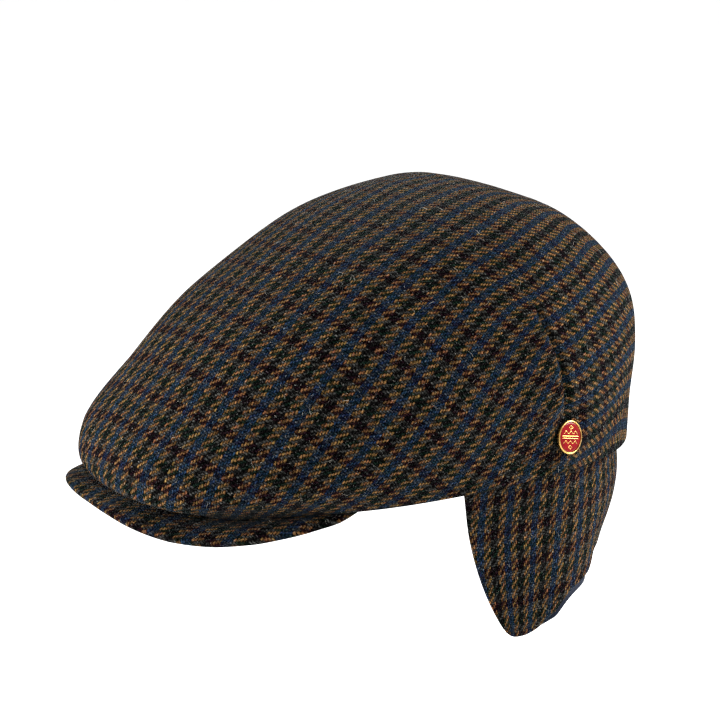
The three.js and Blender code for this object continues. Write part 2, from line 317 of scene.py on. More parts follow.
# Red hard enamel, fired in a recess and polished flush: deep colour under a glassy top.
glaze = {"dark": "#5a0309", "light": "#6c050c", "cloudSize": 2.5, "ripple": 0.05}  # mm


def redEnamel():
    material, t = newMaterial("red hard enamel")
    place = addNode(t, "TexCoord", out="Object")
    cloud = addNode(t, "TexNoise", {"Vector": place, "Scale": 1 / (glaze["cloudSize"] * mm), "Detail": 2})
    colour = addNode(t, "ValToRGB", {0: cloud}, ramp=[(0.3, glaze["dark"]), (0.7, glaze["light"])])
    ripple = addNode(t, "Bump", {"Strength": 0.1, "Distance": glaze["ripple"] * mm, "Height": cloud})
    glass = addNode(t, "BsdfPrincipled", {
        "Base Color": colour, "Roughness": 0.22, "IOR": 1.52, "Specular IOR Level": 0.1, "Normal": ripple,
    })
    addNode(t, "OutputMaterial", {0: glass})
    return material


# Plated steel, turned and left satin: a dull grey shine with a fine grain.
plating = {"dark": "#8f8f8c", "light": "#b4b4b0", "grainSize": 0.4}  # mm


def platedSteel():
    material, t = newMaterial("satin plated steel")
    place = addNode(t, "TexCoord", out="Object")
    grain = addNode(t, "TexNoise", {"Vector": place, "Scale": 1 / (plating["grainSize"] * mm), "Detail": 2})
    colour = addNode(t, "ValToRGB", {0: grain}, ramp=[(0.3, plating["dark"]), (0.7, plating["light"])])
    rough = addNode(t, "MapRange", {"Value": grain, "To Min": 0.3, "To Max": 0.45})
    metal = addNode(t, "BsdfPrincipled", {"Base Color": colour, "Metallic": 1, "Roughness": rough})
    addNode(t, "OutputMaterial", {0: metal})
    return material


tweedCloth = woolTweed()
looseWool = woolFibre()
liningCloth = satinLining()
gilt = giltBrass()
enamel = redEnamel()
steel = platedSteel()
print("materials made")


# crown: sections from the hem to the top, in mm, as (y, z) in front and behind and (x, y, z) at the side
crown = {
    "front": [(-144, 10.5), (-158, 17), (-154.5, 30), (-135, 49.5),
              (-107, 72), (-72, 94), (-37, 111), (-8.5, 119)],
    "side": [(85.5, 12.5, 1), (87.8, 8.5, 15), (91, 8, 35), (89, 10, 57),
             (81.5, 12, 79.5), (66.5, 14, 99.5), (44.5, 15, 112), (21.5, 16.5, 117.5)],
    "back": [(100, -8.5), (102.5, 15), (106, 39), (104.5, 60.5),
             (93, 80), (73, 97.5), (50.5, 109), (33.5, 114.5)],
    "square": [2.1, 2.6, 2.6, 2.35, 2.3, 2.1, 2.05, 2, 2], "squareBehind": 2,  # 2 is an oval
    "top": (18, 119.7),
    "hemArch": 3.5, "frontArch": 2, "backArch": 1.6,  # powers, in front first at the hem and then above it
    "wall": 2.4,
    "hemRoom": 0.4,  # mm left below the walls for the rounded hem
    "sag": 4.1, "sagAt": 29, "sagWidth": 13,  # how far the edge sags over the peak, mm and degrees
    "middleSag": 1.5, "middleSagWidth": 14,
    "sagRise": (0.06, 0.3),  # share of the height over which it fades
    "dart": [(0, 98.6), (0.21, 98.2), (0.27, 97.8), (0.333, 96.4),
             (0.4, 93.9), (0.46, 91), (0.5, 89.4)],  # share of the height, degrees
    "dartColumn": 96, "dartReach": 24,  # degrees
    "dartEnd": 0.5, "backSeamEnd": 0.6875, "seamFade": 0.05,  # shares of the height
    "seamDepth": 1.35, "seamWidth": 1.25,
    "swellOff": 4, "swellWidth": 2.5, "swellShare": 0.35,  # of the cloth beside a seam
    "middle": (0, 12),  # seen from above
    "unevenness": 0.45, "evenTop": 0.2,  # mm, and the share of the height over which it ends at the top
    "waves": [(17, 29, inf), (inf, -23, 15), (31, 13, 19)], "waveShare": 0.6,  # mm along x, y and z
    "columnStep": 4,  # degrees between the columns that the cloth is flattened on
    "rows": 32, "finer": 3,  # rows that it is flattened on, and fine rows to each
    "columnCuts": (0, 0.5), "seamCuts": (0, 0.12, 0.26, 0.42, 0.65),  # fine columns in a step
    "hemSteps": 6, "turnedIn": 3,  # rows of tweed turned in above the hem
    "insideLow": (0, 0.02, 0.045, 0.075),  # rows inside, as shares of the height
    "insideHigh": (0.11, 0.98, 36),  # from, to and how many
    "turned": 5,  # degrees that the cloth is turned from the middle line
    "swing": 38,  # degrees that it swings round the end of each dart, towards the back
    "swingFrom": -110, "swingTo": 110, "swingPower": 1.6,  # degrees round the dart's end
    "swingNear": 0.84, "swingReach": (15, 95), "swingFade": 130,  # share close to that end, and mm from it
}


def edgeSag(angle):
    away = np.degrees(np.arccos(np.cos(angle)))
    beside = crown["sag"] * np.exp(-(((away - crown["sagAt"]) / crown["sagWidth"]) ** 2))
    return beside + crown["middleSag"] * np.exp(-((away / crown["middleSagWidth"]) ** 2))


def crownPoint(rise, angle):
    rise, angle = np.broadcast_arrays(np.asarray(rise, float), np.asarray(angle, float))
    top = [(0, *crown["top"])]
    front = spline([(0, y, z) for y, z in crown["front"]] + top, rise)
    back = spline([(0, y, z) for y, z in crown["back"]] + top, rise)
    side = spline(crown["side"] + top, rise)
    section = rise * len(crown["side"])
    inFront = np.cos(angle) >= 0
    square = np.interp(section, range(len(crown["square"])), crown["square"])
    square = np.where(inFront, square, crown["squareBehind"])
    along = np.abs(np.cos(angle))
    across = np.abs(np.sin(angle))
    reach = (along**square + across**square) ** (-1 / square)
    along = along * reach
    end = np.where(inFront[..., None], front, back)
    arch = mix(crown["hemArch"], crown["frontArch"], np.minimum(section, 1))
    arch = np.where(inFront, arch, crown["backArch"])
    x = side[..., 0] * np.sin(angle) * reach
    y = mix(side[..., 1], end[..., 1], along)
    z = mix(side[..., 2], end[..., 2], along**arch)
    z = z - edgeSag(angle) * (1 - smooth(rise, *crown["sagRise"]))
    return np.stack([x, y, z], -1)


def crownNormal(rise, angle):
    step = 1e-3
    up = crownPoint(np.minimum(rise + step, 1), angle) - crownPoint(np.maximum(rise - step, 0), angle)
    around = crownPoint(rise, angle + step) - crownPoint(rise, angle - step)
    return unit(np.cross(around, up))


# badge, pinned through the crown's side; it presses the cloth flat under it
badge = {
    "rise": 0.135, "angle": 99.3,  # place on the crown, share of the height and degrees
    "tilt": 17, "yaw": 4,  # degrees that it faces up and back
    "press": (7, 18), "leastFacing": 0.3,  # mm from its middle over which the cloth leaves it
    "gap": 0.3, "diameter": 14.6, "height": 1.7, "rimWidth": 0.6, "floor": 0.7,
    "edgeRound": 0.4, "edgeSteps": 6, "backNick": 0.1,
    "innerEdge": [(0.15, 0), (0.03, 0.06), (0, 0.2)],  # mm outwards and down from the rim's inner edge
    "enamelGap": 0.1, "enamelSunk": 0.35, "enamelDome": 0.3, "domeSteps": 9, "sides": 96,
    "waves": [(2.1, 4.4), (-2.1, 4.4)], "bars": [(0.5, 5), (-0.5, 5)],  # height, half length
    "swell": 0.55, "swells": 3, "lineSteps": 60,
    "lozenges": [4.3, -4.3], "lozengeSize": (1.3, 0.75), "lozengePoints": 16,
    "wire": 0.13, "wireSides": 6, "wireApart": 0.02, "turned": -17,  # degrees
}


def badgeFrame():
    rise, angle = np.array(badge["rise"]), np.radians(badge["angle"])
    tilt, yaw = np.radians((badge["tilt"], badge["yaw"]))
    out = crownNormal(rise, angle) * np.cos(tilt) + np.array((0, 0, np.sin(tilt)))
    out = unit(np.array(Matrix.Rotation(yaw, 3, "Z") @ Vector(out)))
    across = unit(np.cross((0, 0, 1), out))
    return crownPoint(rise, angle), np.stack([across, np.cross(out, across), out])


badgePlace, badgeAxes = badgeFrame()


def dartAngle(rise):
    rises, angles = zip(*crown["dart"])
    return np.interp(rise, rises, angles)


def columnAngle(rise, column):
    # columns near a dart follow it up the crown
    lean = dartAngle(rise) - crown["dartColumn"]
    left = np.exp(-(((column - crown["dartColumn"]) / crown["dartReach"]) ** 2))
    right = np.exp(-(((column - 360 + crown["dartColumn"]) / crown["dartReach"]) ** 2))
    return np.radians(column + lean * (left - right))


def badgePress(points, normals):
    # how far the cloth would move to lie flat under the badge, and the share of it that it does
    facing = np.maximum(normals @ badgeAxes[2], badge["leastFacing"])
    flat = ((badgePlace - points) @ badgeAxes[2]) / facing
    return flat, 1 - smooth(np.linalg.norm(points - badgePlace, axis=-1), *badge["press"])


def crownRelief(rise, column, points, normals):
    # seams are drawn in, with the cloth swelling a little beside them
    def seam(at, end):
        reach = np.radians(column - at) * np.linalg.norm(points[..., :2] - crown["middle"], axis=-1)
        fade = 1 - smooth(rise, end - crown["seamFade"], end)
        ditch = np.exp(-((reach / crown["seamWidth"]) ** 2))
        swell = np.exp(-(((np.abs(reach) - crown["swellOff"]) / crown["swellWidth"]) ** 2))
        return fade * crown["seamDepth"] * (crown["swellShare"] * swell - ditch)

    darts = seam(crown["dartColumn"], crown["dartEnd"]) + seam(360 - crown["dartColumn"], crown["dartEnd"])
    first, second, third = (np.sin((points / lengths).sum(-1)) for lengths in crown["waves"])
    uneven = crown["unevenness"] * (first * second + crown["waveShare"] * third)
    uneven = uneven * smooth(1 - rise, 0, crown["evenTop"])
    flat, share = badgePress(points, normals)
    return mix(darts + seam(180, crown["backSeamEnd"]) + uneven, flat, share)


def clothOnCrown(flat, dartTip):
    # turns the weave on the flat cloth: a little everywhere, and further behind each dart
    def turn(points, angle):
        cosine, sine = np.cos(angle)[..., None], np.sin(angle)[..., None]
        return points * cosine + np.stack([points[..., 1], -points[..., 0]], -1) * sine

    placed = flat
    for side in (1, -1):
        reach = flat - dartTip * (side, 1)
        bearing = np.degrees(np.arctan2(reach[..., 1], -side * reach[..., 0]))
        share = smooth(bearing, crown["swingFrom"], crown["swingTo"]) ** crown["swingPower"]
        away = np.linalg.norm(reach, axis=-1)
        share = share * mix(crown["swingNear"], 1, smooth(away, *crown["swingReach"]))
        share = share * np.exp(-((away / crown["swingFade"]) ** 4))
        placed = placed + turn(reach, side * np.radians(crown["swing"]) * share) - reach
    return turn(placed, np.radians(crown["turned"]))


def flatCrown(rises, columns):
    # lays the cloth out flat, cut open at the darts and the back seam, with its middle line along v
    count = len(columns)
    grid = crownPoint(rises[1:, None], columnAngle(rises[1:, None], columns[None]))
    points = np.vstack([crownPoint(1, 0)[None], grid.reshape(-1, 3)])

    def at(row, column):
        return 1 + (row - 1) * count + column % count

    faces = [(0, at(1, c), at(1, c + 1)) for c in range(count)]
    faces += [(at(r, c), at(r + 1, c), at(r + 1, c + 1), at(r, c + 1))
              for r in range(1, len(rises) - 1) for c in range(count)]
    mesh = bpy.data.meshes.new("flat crown")
    mesh.from_pydata(points.tolist(), [], faces)
    cuts = {column: crown["dartEnd"] for column in (crown["dartColumn"], 360 - crown["dartColumn"])}
    cuts[180] = crown["backSeamEnd"]
    for edge in mesh.edges:
        a, b = ((v - 1) % count for v in edge.vertices)
        rise = max(rises[(v - 1) // count + 1] for v in edge.vertices)
        edge.use_seam = a == b and min(edge.vertices) > 0 and rise <= cuts.get(columns[a], -1) + tiny
    sheet = bpy.data.objects.new("flat crown", mesh)
    scene.collection.objects.link(sheet)
    bpy.context.view_layer.objects.active = sheet
    sheet.select_set(True)
    mesh.uv_layers.new(name="cloth")
    bpy.ops.object.mode_set(mode="EDIT")
    bpy.ops.mesh.select_all(action="SELECT")
    bpy.ops.uv.unwrap(method="MINIMUM_STRETCH", correct_aspect=False, margin=0)
    bpy.ops.object.mode_set(mode="OBJECT")
    flat = np.zeros(2 * len(mesh.loops))
    mesh.uv_layers["cloth"].data.foreach_get("uv", flat)
    flat = flat.reshape(-1, 2)
    bpy.data.objects.remove(sheet)
    fan = flat[:3 * count].reshape(count, 3, 2)
    corners = flat[3 * count:].reshape(len(rises) - 2, count, 4, 2)
    corners = np.concatenate([fan[None][:, :, [0, 1, 2, 0]], corners])
    # real size, middle line along v from front to back, not mirrored
    hem, top = corners[-1, 0, 1], corners[0, 0, 0]
    lengths = np.linalg.norm(corners[1:, :, 1] - corners[1:, :, 0], axis=-1)
    real = np.linalg.norm(grid[1:] - grid[:-1], axis=-1)
    scale = real.sum() / lengths.sum()
    v = (top - hem) / np.linalg.norm(top - hem)
    u = np.array([v[1], -v[0]])
    corners = (corners - top) @ np.stack([u, v], 1) * scale
    dartRow = round((1 - crown["dartEnd"]) * crown["rows"])
    dartTip = corners[dartRow, round(crown["dartColumn"] / crown["columnStep"]), 0]
    return clothOnCrown(corners, dartTip)


def fineColumns(wide):
    # columns in each wide cell, closest together beside the seams: angle, cell, share of the cell
    step = crown["columnStep"]
    seams = (crown["dartColumn"], 180, 360 - crown["dartColumn"])
    columns, cells, shares = [], [], []
    for cell, column in enumerate(wide):
        cuts = crown["columnCuts"]
        if column in seams:
            cuts = crown["seamCuts"]
        if column + step in seams:
            cuts = (0, *(1 - cut for cut in crown["seamCuts"][:0:-1]))
        for cut, following in zip(cuts, (*cuts[1:], 1)):
            columns.append(column + step * cut)
            cells.append(cell)
            shares.append((cut, following))
    return np.array(columns), np.array(cells), np.array(shares)


def crownPiece():
    wide = np.arange(0, 360, crown["columnStep"], dtype=float)
    coarse, finer = crown["rows"], crown["finer"]
    corners = flatCrown(1 - np.arange(coarse + 1) / coarse, wide)
    columns, cells, shares = fineColumns(wide)
    count = len(columns)

    def surface(rises):
        angles = columnAngle(rises[:, None], columns[None])
        return crownPoint(rises[:, None], angles), crownNormal(rises[:, None], angles)

    rises = 1 - np.arange(1, finer * coarse + 1) / (finer * coarse)
    plain, normals = surface(rises)
    outer = plain + normals * crownRelief(rises[:, None], columns[None], plain, normals)[..., None]
    inner, inward = surface(np.concatenate([crown["insideLow"], np.linspace(*crown["insideHigh"])]))
    flat, share = badgePress(inner, inward)
    inner = inner + (flat * share - crown["wall"])[..., None] * inward
    # rounded hem
    turns = np.linspace(0, pi, crown["hemSteps"] + 1)[1:-1, None, None]
    low, near = outer[-1], inner[0]
    down = unit(low - outer[-2])
    hem = (low + near) / 2 + np.cos(turns) * (low - near) / 2 + np.sin(turns) * down * crown["wall"] / 2
    rows = np.concatenate([outer, hem, inner])
    topOut = crownPoint(1, 0)
    topIn = topOut - (0, 0, crown["wall"])
    points = np.vstack([rows.reshape(-1, 3), topOut, topIn])
    outTop, inTop = len(points) - 2, len(points) - 1
    here = np.arange(count)
    after = (here + 1) % count

    def clothUv(row, share):
        # on the flat cloth, at a share of the coarse cell that each column lies in
        cell = min(int(row), coarse - 1)
        topLeft, lowLeft, lowRight, topRight = np.moveaxis(corners[cell][cells], 1, 0)
        left, right = mix(topLeft, lowLeft, row - cell), mix(topRight, lowRight, row - cell)
        return mix(left, right, share[:, None])

    left, right = shares.T
    faces = [(outTop, c, after[c]) for c in here]
    fan = [clothUv(0, left), clothUv(1 / finer, left), clothUv(1 / finer, right)]
    uvs = [np.stack(fan, 1).reshape(-1, 2)]
    parts = [0] * count
    # past the hem the cloth goes on straight
    outerRows = len(rises)
    tweedRows = outerRows + len(hem) + crown["turnedIn"]
    hemLeft, hemRight = clothUv(coarse, left), clothUv(coarse, right)
    wayLeft = unit(hemLeft - clothUv(coarse - 1, left))
    wayRight = unit(hemRight - clothUv(coarse - 1, right))
    rowSteps = np.linalg.norm(np.diff(rows[outerRows - 1:], axis=0), axis=-1).mean(1)
    beyond = np.concatenate([[0], np.cumsum(rowSteps)])
    for r in range(len(rows) - 1):
        a, b = r * count, (r + 1) * count
        faces += np.stack([a + here, b + here, b + after, a + after], 1).tolist()
        if r + 1 < outerRows:
            start, stop = (r + 1) / finer, (r + 2) / finer
            rowUv = [clothUv(start, left), clothUv(stop, left), clothUv(stop, right), clothUv(start, right)]
        else:
            start, stop = beyond[r - outerRows + 1:r - outerRows + 3]
            rowUv = [hemLeft + wayLeft * start, hemLeft + wayLeft * stop]
            rowUv += [hemRight + wayRight * stop, hemRight + wayRight * start]
        uvs.append(np.stack(rowUv, 1).reshape(-1, 2))
        parts += [0 if r < tweedRows else 1] * count
    last = (len(rows) - 1) * count
    faces += [(last + c, inTop, last + after[c]) for c in here]
    uvs.append(np.zeros((3 * count, 2)))
    parts += [1] * count
    cloths = [tweedCloth, liningCloth]
    makePiece("tweed_crown", points, faces, np.concatenate(uvs), cloths, "crown", parts)
    return np.concatenate([outer, outer[:, :1]], 1).swapaxes(0, 1)


crownOutside = crownPiece()


# closed cloth plates with a rounded edge

def platePiece(name, front, back, uv, material, node, rimSteps=5):
    # seen from the front, the first index runs to the right and the second runs down
    wide, high = front.shape[:2]
    frontGrid = np.arange(wide * high).reshape(wide, high)
    backGrid = frontGrid + wide * high
    ring = [(i, 0) for i in range(wide - 1)] + [(wide - 1, j) for j in range(high - 1)]
    ring += [(i, high - 1) for i in range(wide - 1, 0, -1)] + [(0, j) for j in range(high - 1, 0, -1)]
    i, j = np.array(ring).T
    inI, inJ = np.clip(i, 1, wide - 2), np.clip(j, 1, high - 2)
    half = (front[i, j] - back[i, j]) / 2
    middle = (front[i, j] + back[i, j]) / 2
    out = front[i, j] - front[inI, inJ]
    across = unit(half)
    out = unit(out - (out * across).sum(-1, keepdims=True) * across)
    radius = np.linalg.norm(half, axis=-1, keepdims=True)
    outUv = unit(uv[i, j] - uv[inI, inJ])
    points = [front.reshape(-1, 3), back.reshape(-1, 3)]
    rings = [frontGrid[i, j]]
    ringUvs = [uv[i, j]]
    for k in range(1, rimSteps):
        turn = pi * k / rimSteps
        points.append(middle + np.cos(turn) * half + np.sin(turn) * radius * out)
        rings.append(2 * wide * high + (k - 1) * len(ring) + np.arange(len(ring)))
        ringUvs.append(uv[i, j] + outUv * radius * turn)
    rings.append(backGrid[i, j])
    ringUvs.append(uv[i, j] + outUv * radius * pi)
    faces = [gridCells(frontGrid), gridCells(backGrid)[:, ::-1]]
    uvs = [uv.reshape(-1, 2)[grid % (wide * high)] for grid in faces]
    for k in range(rimSteps):
        r0, r1, u0, u1 = rings[k], rings[k + 1], ringUvs[k], ringUvs[k + 1]
        faces.append(np.stack([r0, np.roll(r0, -1), np.roll(r1, -1), r1], -1))
        uvs.append(np.stack([u0, np.roll(u0, -1, 0), np.roll(u1, -1, 0), u1], 1))
    corners = np.concatenate([u.reshape(-1, 2) for u in uvs])
    faces = np.concatenate(faces).tolist()
    makePiece(name, np.vstack(points), faces, corners, [material], node)


def hemBottom(angle):
    outer = crownPoint(0, angle)
    inner = outer - crown["wall"] * crownNormal(0, angle)
    return np.minimum(outer[..., 2], inner[..., 2]) - crown["hemRoom"]


def hemOutward(angle):
    step = 1e-3
    along = crownPoint(0, angle + step) - crownPoint(0, angle - step)
    out = np.cross(along, (0, 0, 1))
    return unit(out * (1, 1, 0))


# peak: sections from the forehead, under the crown's edge, to the lip
peak = {
    "endAngle": 58.5, "endReach": 4,
    "opened": [(0, 1), (20, 1), (32, 0.975), (40, 0.905), (46, 0.765), (50, 0.585), (53, 0.4),
               (55, 0.33), (57, 0.15), (58.5, 0.02)],  # degrees from the front, share of the way to the lip
    "twist": 2.4, "twistReach": 50, "twistShort": 0.1,  # the lip is a little higher on the wearer's right
    "lip": (86.5, 165.5, 2.85), "forehead": (77, 98, 2),  # half width, reach to the front, squareness
    "lipRise": 1.1, "lipFall": 4, "fall": (11.2, 47.6), "foreheadRise": 2,  # mm, and degrees of the fall
    "thickness": 3.2, "lipThickness": 2.6, "thinFrom": 0.6, "endThickness": 0.6, "gap": 0.3,
    "sections": 120, "across": 28, "shownFrom": 16,  # points across, and the first that shows
    "tuckIn": (51, 56.5, 3.2), "tuckUp": (55.5, 58.5, 2),  # of the ends, up behind the hem, degrees and mm
    "bow": 1.4, "bent": (-4.4, 2.5, -2.1), "bentFrom": (-16, 6), "bentTo": (28, 54),  # mm and degrees
    "turned": 16, "phase": 6.5,  # of its weave, degrees and mm
}


def peakPiece():
    end = np.radians(peak["endAngle"])
    angle = np.linspace(-end, end, peak["sections"] + 1)
    share = np.abs(angle / end)
    away = np.degrees(np.abs(angle))
    opened = np.interp(away, *zip(*peak["opened"]))
    twist = smooth(-np.sin(angle) * peak["lip"][0], 0, peak["twistReach"])
    middle = crown["side"][0][1]

    def oval(halfWidth, front, square, z):
        reach = (np.cos(angle) ** square + np.abs(np.sin(angle)) ** square) ** (-1 / square)
        y = mix(middle, -front, np.cos(angle) * reach)
        return np.stack([halfWidth * np.sin(angle) * reach, y, z], -1)

    tucks = (peak["tuckIn"], peak["tuckUp"])
    tuckIn, tuckUp = (reach * smooth(away, low, high) for low, high, reach in tucks)
    seat = crownPoint(0, angle) - tuckIn[:, None] * hemOutward(angle)
    seat[:, 2] = hemBottom(angle) - peak["gap"] + tuckUp
    level = seat[:, 2] + edgeSag(angle)
    lip = mix(seat, oval(*peak["lip"], level), (opened * (1 - peak["twistShort"] * twist))[:, None])
    fall = smooth(away, *peak["fall"])
    lip[:, 2] += opened * (mix(peak["lipRise"], -peak["lipFall"], fall) + peak["twist"] * twist)
    turn = np.degrees(angle)
    lip = lip + np.outer(smooth(turn, *peak["bentFrom"]) * (1 - smooth(turn, *peak["bentTo"])), peak["bent"])
    forehead = oval(*peak["forehead"], level + peak["foreheadRise"] * opened)
    forehead = mix(forehead, seat - peak["endReach"] * hemOutward(angle), share[:, None] ** 2)
    across = np.linspace(0, 1, peak["across"] + 1)
    top = np.stack([spline(line, across) for line in np.stack([forehead, seat, lip], 1)])
    beyond = np.clip(2 * across - 1, 0, 1)
    top[..., 2] += peak["bow"] * np.outer(opened, 4 * beyond * (1 - beyond))
    solid = mix(peak["thickness"], peak["lipThickness"], smooth(across, peak["thinFrom"], 1))[None]
    thick = mix(peak["endThickness"], solid, np.sqrt(opened)[:, None])
    bottom = top - thick[..., None] * (0, 0, 1)
    # stripes run from front to back, a little askew
    turned = np.radians(peak["turned"])
    x, y = top[..., 0], top[..., 1]
    u = x * np.cos(turned) + y * np.sin(turned) + peak["phase"]
    uv = np.stack([u, y * np.cos(turned) - x * np.sin(turned)], -1)
    platePiece("tweed_peak", top, bottom, uv, tweedCloth, "peak")
    return top[:, peak["shownFrom"]:]


peakOutside = peakPiece()


# band over the ears and the nape, hung inside the hem, in mm and degrees round the hem
band = {
    "edge": [(180, 54), (155, 54), (130, 55), (114, 55.2), (103, 54.2), (96, 55.6), (90, 61), (86, 66.5),
             (83.2, 67.6), (81, 65), (79, 54.5), (77.4, 40), (76.3, 21), (75.8, 0)],  # drop below the ears
    "insideRise": 11,  # up inside the hem
    "hangStart": 15, "earSpread": 7, "napeClose": 13, "nape": (88, 132),  # lower down it spreads or closes
    "napeTuck": 2, "tuckFrom": (0, 16), "tuckTo": (10, 42),  # the nape is drawn in just below the hem
    "wall": 2, "gap": 0.3, "liningWall": 1.6,
    "liningShow": 3.6, "liningCurl": 1.7, "curlFrom": 0.8,  # how far it comes below the tweed, and out
    "liningShort": 2, "show": (80, 92, 105, 124),  # where it starts to show, shows, starts to go, is gone
    "gather": 0.7, "gatherReach": 45,  # how much the stripes close up towards the ear tips
    "lean": 0.17,  # how far the stripes lean forwards
    "tipAngle": 84, "columns": 220, "hemSteps": 720,
    "rows": 44, "shownFrom": 11,  # rows, and the first that shows
}


def bandFace(depth, show, short):
    deepest = max(drop for _, drop in band["edge"])
    along = np.linspace(-1, 1, band["columns"] + 1)
    place = spline(band["edge"], np.abs(along))
    start, full, fade, gone = band["show"]
    behindTip = smooth(place[:, 0], start, full)
    shown = behindTip * (1 - smooth(place[:, 0], fade, gone))
    turn = place[:, 0] + (1 - behindTip) * np.degrees(short / crown["side"][0][0])
    angle = np.radians(turn) * np.where(along < 0, 1, -1)
    low = mix(short, -show, shown) - place[:, 1]
    high = crownPoint(0, angle)[:, 2] + band["insideRise"]
    z = mix(high[:, None], low[:, None], np.linspace(0, 1, band["rows"] + 1)[None])
    toNape = smooth(np.abs(turn), *band["nape"])[:, None]
    hang = smooth(-z, band["hangStart"], deepest)
    close = mix(-band["earSpread"], band["napeClose"], toNape) * hang
    tuck = smooth(high[:, None] - z, *band["tuckFrom"]) * (1 - smooth(-z, *band["tuckTo"]))
    close = close + band["napeTuck"] * toNape * tuck
    inset = crown["wall"] + band["gap"] + close + depth
    # below the tweed the lining curls out
    drop = place[:, 1:]
    inset = inset - band["liningCurl"] * (show > 0) * smooth(-z, drop + band["curlFrom"], drop + show)
    points = crownPoint(0, angle)[:, None] - inset[..., None] * hemOutward(angle)[:, None]
    points[..., 2] = z
    # the cloth hangs with its stripes upright, closing up towards the ear tips
    turns = np.linspace(-180, 180, band["hemSteps"] + 1)
    hem = crownPoint(0, np.radians(turns))
    lengths = np.concatenate([[0], np.cumsum(np.linalg.norm(np.diff(hem[:, :2], axis=0), axis=-1))])
    u = np.interp(np.degrees(angle), turns, lengths)
    u = (u - lengths[-1] * (angle > 0))[:, None]  # from the middle of the nape
    behind = np.interp(-band["tipAngle"], turns, lengths) - np.abs(u)
    below = np.clip(-z / deepest, 0, None)
    gather = band["gather"] * below**3 * behind * np.exp(-((behind / band["gatherReach"]) ** 2))
    lean = band["lean"] * below * deepest * (1 - toNape)
    u = u + np.sign(angle)[:, None] * (gather + lean)
    return points, np.stack([u, z], -1)


def bandPieces():
    front, uv = bandFace(0, 0, 0)
    back, _ = bandFace(band["wall"], 0, 0)
    platePiece("tweed_ear_band", front, back, uv, tweedCloth, "ear_band")
    outside = front[:, band["shownFrom"]:]
    depth = band["wall"] + 2 * band["gap"]
    front, uv = bandFace(depth, band["liningShow"], band["liningShort"])
    back, _ = bandFace(depth + band["liningWall"], band["liningShow"], band["liningShort"])
    platePiece("satin_band_lining", front, back, uv, liningCloth, "ear_band_lining")
    return outside


bandOutside = bandPieces()


# loose fibres that stand off the milled cloth, lengths in mm
fibres = {
    "count": 1500, "length": (0.9, 4.2), "radius": (0.02, 0.052), "lift": (0.05, 0.3), "bend": 0.5,
    "mostShort": 2.5, "mostThin": 2,  # powers of the random draws
    "arch": 0.85, "sunk": 0.05, "taper": 0.8,
    "steps": 4, "seed": 11, "clear": 12,  # kept off the badge
}


def fibrePiece(grids):
    rng = np.random.default_rng(fibres["seed"])
    corners = np.concatenate([gridCells(grid) for grid in grids])
    facing = np.cross(corners[:, 1] - corners[:, 0], corners[:, 3] - corners[:, 0])
    areas = np.linalg.norm(facing, axis=-1)
    areas = areas * (np.linalg.norm(corners[:, 0] - badgePlace, axis=-1) > fibres["clear"])
    count = fibres["count"]
    chosen = rng.choice(len(areas), count, p=areas / areas.sum())
    a, b, c, d = np.moveaxis(corners[chosen], 1, 0)
    s, t = rng.random((2, count, 1))
    root = mix(mix(a, b, s), mix(d, c, s), t)
    out = unit(facing[chosen])
    way = unit(np.cross(out, rng.normal(size=(count, 3))))
    side = np.cross(out, way)
    length = mix(*fibres["length"], rng.random((count, 1)) ** fibres["mostShort"])
    lift = length * rng.uniform(*fibres["lift"], (count, 1))
    bend = length * fibres["bend"] * rng.uniform(-1, 1, (count, 1))
    radius = mix(*fibres["radius"], rng.random((count, 1)) ** fibres["mostThin"])
    rings = []
    for p in np.linspace(0, 1, fibres["steps"] + 1):
        stand = lift * np.sin(fibres["arch"] * pi * p) - fibres["sunk"]
        middle = root + way * length * p + side * bend * p**2 + out * stand
        thin = radius * (1 - fibres["taper"] * p**2)
        for turn in (0, 2 * pi / 3, 4 * pi / 3):
            rings.append(middle + thin * (np.cos(turn) * side + np.sin(turn) * out))
    points = np.stack(rings, 1).reshape(-1, 3)
    last = 3 * fibres["steps"]
    one = [(2, 1, 0), (last, last + 1, last + 2)]
    for k in range(0, last, 3):
        one += [(k + j, k + (j + 1) % 3, k + 3 + (j + 1) % 3, k + 3 + j) for j in range(3)]
    faces = [tuple(n * len(rings) + v for v in face) for n in range(count) for face in one]
    makePiece("wool_fibres", points, faces, planUvs(points, faces), [looseWool], None)


fibrePiece([crownOutside, peakOutside, bandOutside])


# badge: turned about its own axis

def onBadge(points):
    return badgePlace + np.asarray(points) @ badgeAxes


def turnedPiece(name, profile, material, node):
    # profile of (radius, height) from the axis below, round the outside, to the axis above
    sides = badge["sides"]
    turn = np.linspace(0, 2 * pi, sides, endpoint=False)
    rings = [[(r * np.cos(a), r * np.sin(a), h) for a in turn] for r, h in profile[1:-1]]
    points = [(0, 0, profile[0][1])] + [p for ring in rings for p in ring] + [(0, 0, profile[-1][1])]

    def at(ring, side):
        return 1 + ring * sides + side % sides

    faces = [(0, at(0, c + 1), at(0, c)) for c in range(sides)]
    for k in range(len(rings) - 1):
        faces += [(at(k, c), at(k, c + 1), at(k + 1, c + 1), at(k + 1, c)) for c in range(sides)]
    last = len(rings) - 1
    faces += [(at(last, c), at(last, c + 1), len(points) - 1) for c in range(sides)]
    makePiece(name, onBadge(points), faces, planUvs(points, faces), [material], node)


def domeHeight(radius):
    edge = badge["gap"] + badge["height"] - badge["enamelSunk"]
    inner = badge["diameter"] / 2 - badge["rimWidth"]
    return edge + badge["enamelDome"] * (1 - (radius / inner) ** 2)


